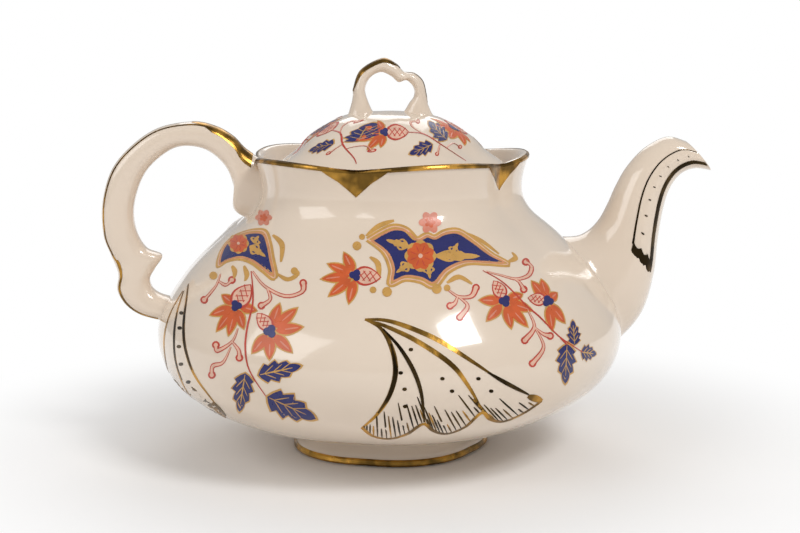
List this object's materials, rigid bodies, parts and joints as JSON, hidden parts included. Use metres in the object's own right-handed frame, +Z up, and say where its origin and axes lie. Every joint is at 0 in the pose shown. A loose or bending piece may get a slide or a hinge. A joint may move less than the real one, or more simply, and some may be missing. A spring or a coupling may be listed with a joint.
{
  "type": "teapot",
  "caption": "Squat lobed porcelain teapot with swan-neck spout, loop handle, scalloped rim and a lift-off domed lid with a pierced loop knob.",
  "frame": {"origin": "middle of the whole pot's length and width, on the table under the foot", "axes": "+Z up, +X towards the spout, +Y completes the right-handed set; the pot is symmetric about the XZ plane"},
  "size_m": [0.2438, 0.1864, 0.1552],
  "materials": {
    "body_glaze": "cream porcelain glaze, gloss, with enamel and gilt decoration",
    "foot_glaze": "cream porcelain glaze, gloss, with a gilt line",
    "handle_glaze": "cream porcelain glaze, gloss, with gilt lines"
  },
  "bodies": {
    "pot": {"pot_body": "body_glaze", "foot_ring": "foot_glaze", "spout": "body_glaze", "handle": "handle_glaze"},
    "lid": {"lid_shell": "body_glaze", "lid_knob": "handle_glaze"}
  },
  "joints": [
    {"name": "lid_lift", "type": "slide", "parent": "pot", "child": "lid", "axis": [0, 0, 1], "range_m": [0, 0.06]}
  ]
}
